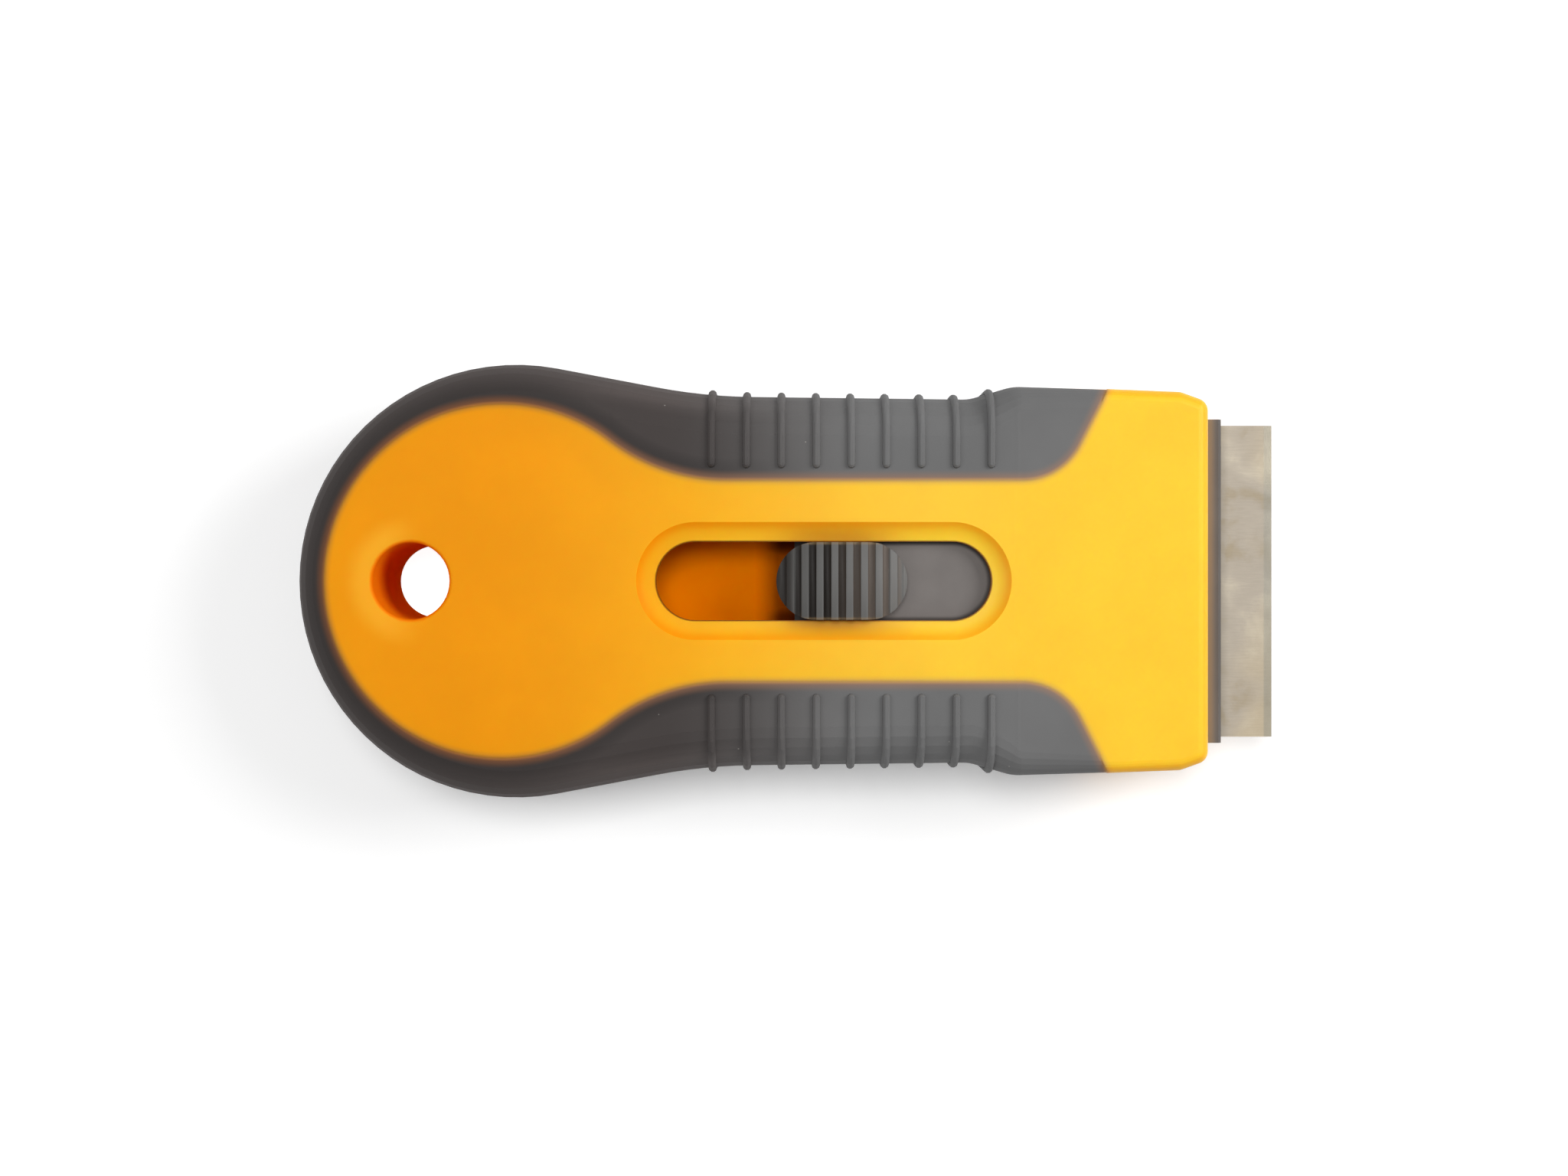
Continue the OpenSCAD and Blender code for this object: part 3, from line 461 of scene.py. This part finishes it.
def abs_yellow():
    """Injection moulded ABS from a fine spark-eroded mould: even colour, soft gloss, faint flow marks."""
    made, tree, shader, place = material("abs_yellow_moulded")
    c, s = colours(), sizes()
    # Flow marks are about a centimetre wide and barely darker
    flow = noise(tree, place, FLOW_GRAIN, detail=3.0)
    yellow, skin, share = two_shot_colour(tree, place, ramp(tree, flow, *FLOW_TONE))
    colour = blended(tree, share, yellow, skin)
    x, side, z = coordinates(tree, place)
    # Inside the handle the light has met the yellow walls several times, so the plastic looks orange
    inside = product(tree, ramp(tree, z, *INSIDE_TOP), ramp(tree, z, *INSIDE_FLOOR),
                     ramp(tree, side, *INSIDE_SIDE), ramp(tree, x, *INSIDE_FRONT))
    colour = blended(tree, inside, colour, rgba(c.orange))
    # Painted shadow on the slot's floor towards the button and in its corners
    corner = product(tree, ramp(tree, x, *CORNER_FADE), ramp(tree, side, *CORNER_SIDE))
    shade = maths(tree, "MAXIMUM", ramp(tree, x, *SHADE_FADE, soft=False), corner)
    colour = blended(tree, product(tree, inside, shade), colour, rgba(c.slot_shade))
    # A face that leans towards the rest of the panel takes up its light and looks deeper
    steep = product(tree, ramp(tree, level_of(tree), *LEAN), ramp(tree, x, *NOSE_LEAN))
    colour = multiplied(tree, colour, blended(tree, steep, WHITE, rgba(c.steep)))
    wall = product(tree, ramp(tree, slot_reach(tree, place), *WALL_REACH), ramp(tree, z, *WALL_RISE))
    colour = blended(tree, wall, colour, rgba(c.slot_edge))
    # The hang hole's wall is painted deeper orange the deeper it lies, as painted shade, and its rim has a
    # painted highlight at the handle end
    from_hole = maths(tree, "SUBTRACT", distance(tree, from_above(tree, x, side), (s.hole_x, 0, 0)), s.hole_r)
    hole_highlight = product(tree, ramp(tree, from_hole, *HIGHLIGHT_WIDTH),
                   ramp(tree, maths(tree, "SUBTRACT", x, s.hole_x), *HIGHLIGHT_SIDE))
    colour = blended(tree, hole_highlight, colour, rgba(c.hole_highlight))
    deep = product(tree, ramp(tree, z, *BORE_DEPTH), ramp(tree, z, *BORE_FOOT))
    in_hole = ramp(tree, from_hole, BORE_RIM, 0.0)
    colour = blended(tree, in_hole, colour, blended(tree, deep, rgba(c.hole_top), rgba(c.hole_low)))
    # Painted shade of the button: a faint brown on the slot's rim beside it
    from_shade_middle = maths(tree, "ABSOLUTE", maths(tree, "SUBTRACT", x, s.rim_shade_x))
    smear = product(tree, ramp(tree, from_shade_middle, s.smear, RIM_SHADE_CORE), ramp(tree, side, *RIM_SHADE_SIDE),
                    ramp(tree, z, *RIM_SHADE_RISE))
    tree.links.new(blended(tree, smear, colour, rgba(c.smear)), shader.inputs["Base Color"])
    bumped(tree, shader, noise(tree, place, SHELL_GRAIN), *SHELL_BUMP, eased_normal(tree, place))
    tree.links.new(ramp(tree, flow, *SHELL_ROUGHNESS, soft=False), shader.inputs["Roughness"])
    # The handle end is rubbed dull, and what lies inside and in the hole has no gloss
    bright = maths(tree, "SUBTRACT", 1.0, maths(tree, "MAXIMUM", inside, in_hole))
    gloss = product(tree, bright, ramp(tree, x, *SHELL_GLOSS))
    tree.links.new(gloss, shader.inputs["Specular IOR Level"])
    # ABS lets light through for a millimetre or two, which glows orange beside shaded edges
    shader.inputs["Subsurface Weight"].default_value = GLOW_SHARE
    shader.inputs["Subsurface Radius"].default_value = GLOW_REACH
    shader.inputs["Subsurface Scale"].default_value = GLOW_DEPTH
    return made


def tpr_grey():
    """Soft thermoplastic rubber, moulded over the ABS: matte, dry, with fine grain and a few dust specks."""
    made, tree, shader, place = material("tpr_grey_overmoulded")
    cloud = noise(tree, place, CLOUD_GRAIN, detail=4.0)
    yellow, skin, share = two_shot_colour(tree, place, WHITE)
    toned = multiplied(tree, skin, ramp(tree, cloud, *CLOUD_TONE))
    # The distance from a speck's middle is counted in grains
    dust = add(tree, "ShaderNodeTexVoronoi", {"Vector": place, "Scale": DUST_GRAIN}).outputs["Distance"]
    dusty = blended(tree, ramp(tree, dust, *SPECKS), toned, rgba(colours().dust))
    tree.links.new(blended(tree, share, yellow, dusty), shader.inputs["Base Color"])
    grain = noise(tree, place, RUBBER_GRAIN, detail=3.0)
    bumped(tree, shader, grain, *RUBBER_BUMP, eased_normal(tree, place))
    tree.links.new(ramp(tree, cloud, *RUBBER_ROUGHNESS, soft=False), shader.inputs["Roughness"])
    shader.inputs["Specular IOR Level"].default_value = MATTE_GLOSS
    return made


def grey_plastic(name, colour):
    """Moulded grey polypropylene: matte, with a faint mottle and fine grain."""
    made, tree, shader, place = material(name)
    mottle = noise(tree, place, MOTTLE_GRAIN, detail=4.0)
    toned = multiplied(tree, rgba(colour), ramp(tree, mottle, *MOTTLE_TONE))
    bumped(tree, shader, noise(tree, place, PLASTIC_GRAIN), *PLASTIC_BUMP)
    shader.inputs["Roughness"].default_value = PLASTIC_ROUGHNESS
    shader.inputs["Specular IOR Level"].default_value = MATTE_GLOSS
    return made, tree, shader, place, toned


def carrier_plastic():
    """The carrier's grey plastic, with painted shade where its plate ends under the button."""
    c = colours()
    made, tree, shader, place, toned = grey_plastic("pp_grey_carrier", c.carrier)
    low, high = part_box("blade_carrier")
    x, _, z = coordinates(tree, place)
    from_rear = maths(tree, "SUBTRACT", x, low[0])
    from_front = maths(tree, "SUBTRACT", x, high[0])
    # Painted shade where the plate ends under the button
    colour = blended(tree, ramp(tree, from_rear, *PLATE_SHADE), toned, rgba(c.shade_brown))
    # Painted shadow lies along the slot's outline, and the jaws' lip has a brown painted reflection of the
    # yellow and painted shade at its front edge
    reach = slot_reach(tree, place)
    ring = product(tree, ramp(tree, reach, *RING_INNER), ramp(tree, reach, *RING_OUTER),
                   ramp(tree, z, *RING_RISE))
    colour = blended(tree, ring, colour, rgba(c.shade_brown))
    yellow_reflection = product(tree, ramp(tree, from_front, *LIP_REFLECTION), ramp(tree, from_front, *LIP_REFLECTION_END))
    colour = blended(tree, yellow_reflection, colour, rgba(c.yellow_reflection))
    colour = blended(tree, ramp(tree, from_front, *LIP_EDGE_SHADE), colour, rgba(c.shade_brown))
    tree.links.new(colour, shader.inputs["Base Color"])
    return made


def button_plastic():
    """The button's grey plastic, with painted shade in its grooves and at its rear end, and lighter towards
    the front as painted light.
    """
    c, s = colours(), sizes()
    made, tree, shader, place, toned = grey_plastic("pp_grey_button", c.button)
    low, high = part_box("thumb_button")
    x, side, z = coordinates(tree, place)
    profile = add(tree, "ShaderNodeCombineXYZ", {0: x, 2: z}).outputs[0]
    middle = ((low[0] + high[0]) / 2, 0, high[2] - s.crown_r)
    sunk = maths(tree, "SUBTRACT", s.crown_r, distance(tree, profile, middle))
    way = ramp(tree, x, low[0], high[0])
    # Painted shade in the grooves, and painted light: grooves and ridges lighter towards the front, where the
    # light falls
    shade_colour = multiplied(tree, rgba(c.shade_brown), ramp(tree, way, *GROOVE_TONE))
    toned = multiplied(tree, toned, ramp(tree, way, *RIDGE_TONE, soft=False))
    colour = blended(tree, ramp(tree, sunk, *GROOVE_SHADE), toned, shade_colour)
    # The rear end faces away from the light and gets painted shade
    end = ramp(tree, maths(tree, "SUBTRACT", x, low[0]), *REAR_SHADE)
    colour = blended(tree, end, colour, shade_colour)
    # The cap's edge has a painted reflection of the yellow slot around it
    rim = ramp(tree, maths(tree, "SUBTRACT", side, high[1]), *CAP_REFLECTION)
    tree.links.new(blended(tree, rim, colour, rgba(c.yellow_reflection)), shader.inputs["Base Color"])
    return made


def ground_steel():
    """Ground carbon steel with an oil film: fine marks along the tool, smudges, and a cooler ground edge."""
    made, tree, shader, place = material("carbon_steel_ground")
    c = colours()
    x = coordinates(tree, place)[0]
    from_edge = maths(tree, "SUBTRACT", x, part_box("blade")[1][0])
    from_lip = maths(tree, "SUBTRACT", x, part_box("blade_carrier")[1][0])
    marks = streaks(tree, place, GROUND_GRAIN, detail=4.0)
    smudge = noise(tree, place, SMUDGE_GRAIN, detail=5.0, Roughness=0.55, Distortion=0.3)
    patch = noise(tree, place, PATCH_GRAIN)
    colour = blended(tree, ramp(tree, patch, *PATCHES), rgba(c.blade), rgba(c.blade_cool))
    colour = blended(tree, ramp(tree, smudge, *PALE_SMEARS), colour, rgba(c.blade_pale))
    colour = blended(tree, ramp(tree, smudge, *STAINS), colour, rgba(c.blade_stain))
    colour = blended(tree, ramp(tree, from_edge, *BEVEL), colour, rgba(c.blade_edge))
    colour = multiplied(tree, colour, ramp(tree, from_lip, *LIP_SHADE))
    colour = multiplied(tree, colour, ramp(tree, marks, *GROUND_TONE))
    tree.links.new(colour, shader.inputs["Base Color"])
    tree.links.new(ramp(tree, smudge, *GROUND_ROUGHNESS), shader.inputs["Roughness"])
    bumped(tree, shader, marks, *GROUND_BUMP)
    shader.inputs["Metallic"].default_value = 1.0
    return made


def drawn_steel(name, colour, smooth=BRIGHT_ROUGHNESS):
    """Rolled or turned steel: fine drawn lines and small changes of gloss."""
    made, tree, shader, place = material(name)
    marks = streaks(tree, place, DRAWN_GRAIN, detail=3.0)
    toned = multiplied(tree, rgba(colour), ramp(tree, marks, *DRAWN_TONE))
    tree.links.new(toned, shader.inputs["Base Color"])
    rough = ramp(tree, marks, 0.0, 1.0, smooth, smooth + ROUGHNESS_RISE)
    tree.links.new(rough, shader.inputs["Roughness"])
    shader.inputs["Metallic"].default_value = 1.0
    return made


def finish_node(name, finish, edge=None):
    """Gives a CAD node its material and, where it has one, its rounded edges."""
    piece = NODES[name]
    piece.data.materials.clear()
    piece.data.materials.append(finish)
    if edge:
        weld = piece.modifiers.new("weld", "WELD")
        weld.merge_threshold = WELD
        bevel = piece.modifiers.new("rounded_edges", "BEVEL")
        bevel.width = edge
        bevel.segments = EDGE_STEPS
        bevel.limit_method = "ANGLE"
        bevel.angle_limit = EDGE_ANGLE
        bevel.harden_normals = True


class SCRAPER_OT_shells(bpy.types.Operator):
    """Yellow shells, moulded ABS"""
    bl_idname = "scraper.shells"
    bl_label = "Shells"

    def execute(self, context):
        finish = abs_yellow()
        finish_node("upper_shell", finish)
        finish_node("lower_shell", finish)
        return {"FINISHED"}


class SCRAPER_OT_grips(bpy.types.Operator):
    """Soft grips with ribs"""
    bl_idname = "scraper.grips"
    bl_label = "Grips"

    def execute(self, context):
        finish = tpr_grey()
        finish_node("upper_grip", finish)
        finish_node("lower_grip", finish)
        return {"FINISHED"}


class SCRAPER_OT_carrier(bpy.types.Operator):
    """Blade carrier and clamp, moulded grey plastic"""
    bl_idname = "scraper.carrier"
    bl_label = "Carrier"

    def execute(self, context):
        finish = carrier_plastic()
        finish_node("blade_carrier", finish, sizes().edge)
        finish_node("blade_clamp", finish, sizes().edge)
        return {"FINISHED"}


class SCRAPER_OT_button(bpy.types.Operator):
    """Thumb button with cross ridges"""
    bl_idname = "scraper.button"
    bl_label = "Thumb button"

    def execute(self, context):
        finish_node("thumb_button", button_plastic(), sizes().edge)
        return {"FINISHED"}


class SCRAPER_OT_blade(bpy.types.Operator):
    """Blade and its folded back"""
    bl_idname = "scraper.blade"
    bl_label = "Blade"

    def execute(self, context):
        finish_node("blade", ground_steel())
        finish_node("blade_spine", drawn_steel("steel_strip_folded", colours().steel))
        return {"FINISHED"}


class SCRAPER_OT_fasteners(bpy.types.Operator):
    """Screws and the latch spring"""
    bl_idname = "scraper.fasteners"
    bl_label = "Fasteners and spring"

    def execute(self, context):
        zinc = drawn_steel("steel_zinc_plated", colours().steel)
        for name in ("housing_screws", "clamp_screws", "latch_screws"):
            finish_node(name, zinc)
        finish_node("latch_spring", drawn_steel("spring_steel_strip", colours().spring, SPRING_ROUGHNESS))
        return {"FINISHED"}


class SCRAPER_OT_stage(bpy.types.Operator):
    """Pale floor, soft studio light and the camera straight above"""
    bl_idname = "scraper.stage"
    bl_label = "Stage"

    def execute(self, context):
        scene = context.scene
        st = scene.scraper_stage
        self.floor(scene, st)
        self.world(scene, st)
        self.lamps(scene, st)
        data = bpy.data.cameras.new("camera")
        data.sensor_width = SENSOR
        data.lens = st.lens
        data.clip_start = NEAREST
        camera = bpy.data.objects.new("camera", data)
        camera.location = (st.camera_x, st.camera_y, st.camera_z)
        scene.collection.objects.link(camera)
        scene.camera = camera
        scene.view_settings.view_transform = "Standard"
        return {"FINISHED"}

    def floor(self, scene, st):
        s = sizes()
        mesh = bpy.data.meshes.new("floor")
        shape = bmesh.new()
        bmesh.ops.create_grid(shape, x_segments=1, y_segments=1, size=FLOOR_HALF)
        shape.to_mesh(mesh)
        shape.free()
        floor = bpy.data.objects.new("floor", mesh)
        scene.collection.objects.link(floor)
        finish = bpy.data.materials.new("table_white_matte")
        finish.use_nodes = True
        tree = finish.node_tree
        tree.nodes.clear()
        matte = add(tree, "ShaderNodeBsdfDiffuse", {"Color": rgba(colours().floor)})
        # The photograph's background is white through the hang hole too, where the floor lies in the shade
        place = add(tree, "ShaderNodeTexCoord").outputs["Object"]
        from_hole = maths(tree, "SUBTRACT", distance(tree, place, (s.hole_x, 0, 0)), s.hole_r)
        far = ramp(tree, distance(tree, place, (0, 0, 0)), *FAR_GLOW)
        share = maths(tree, "MAXIMUM", ramp(tree, from_hole, *HOLE_GLOW), far)
        glow = product(tree, seen_directly(tree), mixed(tree, share, st.floor_glow, st.full_glow))
        light = add(tree, "ShaderNodeEmission", {"Strength": glow})
        both = add(tree, "ShaderNodeAddShader", {0: matte.outputs[0], 1: light.outputs[0]})
        add(tree, "ShaderNodeOutputMaterial", {"Surface": both.outputs[0]})
        mesh.materials.append(finish)

    def world(self, scene, st):
        world = bpy.data.worlds.new("studio")
        scene.world = world
        world.use_nodes = True
        tree = world.node_tree
        tree.nodes.clear()
        strength = mixed(tree, seen_directly(tree), st.ambient, 1.0)
        sky = add(tree, "ShaderNodeBackground", {"Color": WHITE, "Strength": strength})
        add(tree, "ShaderNodeOutputWorld", {"Surface": sky.outputs[0]})

    def lamps(self, scene, st):
        for name, place in LAMPS.items():
            data = bpy.data.lights.new(name, "AREA")
            data.shape = "SQUARE"
            data.size = st.softbox
            data.energy = getattr(st, name)
            lamp = bpy.data.objects.new(name, data)
            turn = (-Vector(place)).to_track_quat("-Z", "Y").to_matrix().to_4x4()
            lamp.matrix_world = Matrix.Translation(place) @ turn
            scene.collection.objects.link(lamp)


def seen_directly(tree):
    """One for what the camera sees, and for what a gloss or a clear piece shows of it."""
    path = add(tree, "ShaderNodeLightPath").outputs
    share = path["Is Camera Ray"]
    for ray in ("Is Glossy Ray", "Is Transmission Ray"):
        share = maths(tree, "MAXIMUM", share, path[ray])
    return share


class SCRAPER_PT_panel(bpy.types.Panel):
    """Sizes, colours and steps of the scraper"""
    bl_idname = "SCRAPER_PT_panel"
    bl_label = "Blade scraper"
    bl_space_type = "VIEW_3D"
    bl_region_type = "UI"
    bl_category = "Scraper"

    def draw(self, context):
        for group in GROUPS:
            values = getattr(context.scene, group)
            box = self.layout.box()
            for name in values.__annotations__:
                box.prop(values, name)
        for step in STEPS:
            self.layout.operator(step.bl_idname)


STEPS = (SCRAPER_OT_shells, SCRAPER_OT_grips, SCRAPER_OT_carrier, SCRAPER_OT_button, SCRAPER_OT_blade,
         SCRAPER_OT_fasteners, SCRAPER_OT_stage)
CLASSES = (ScraperSizes, ScraperColours, ScraperStage, *STEPS, SCRAPER_PT_panel)
GROUPS = {"scraper_sizes": ScraperSizes, "scraper_colours": ScraperColours, "scraper_stage": ScraperStage}


def register():
    for made in CLASSES:
        bpy.utils.register_class(made)
    for name, group in GROUPS.items():
        setattr(bpy.types.Scene, name, PointerProperty(type=group))


def unregister():
    for name in GROUPS:
        delattr(bpy.types.Scene, name)
    for made in reversed(CLASSES):
        bpy.utils.unregister_class(made)


def main():
    register()
    bpy.ops.scraper.shells()
    bpy.ops.scraper.grips()
    bpy.ops.scraper.carrier()
    bpy.ops.scraper.button()
    bpy.ops.scraper.blade()
    bpy.ops.scraper.fasteners()
    bpy.ops.scraper.stage()


if __name__ == "__main__":
    main()
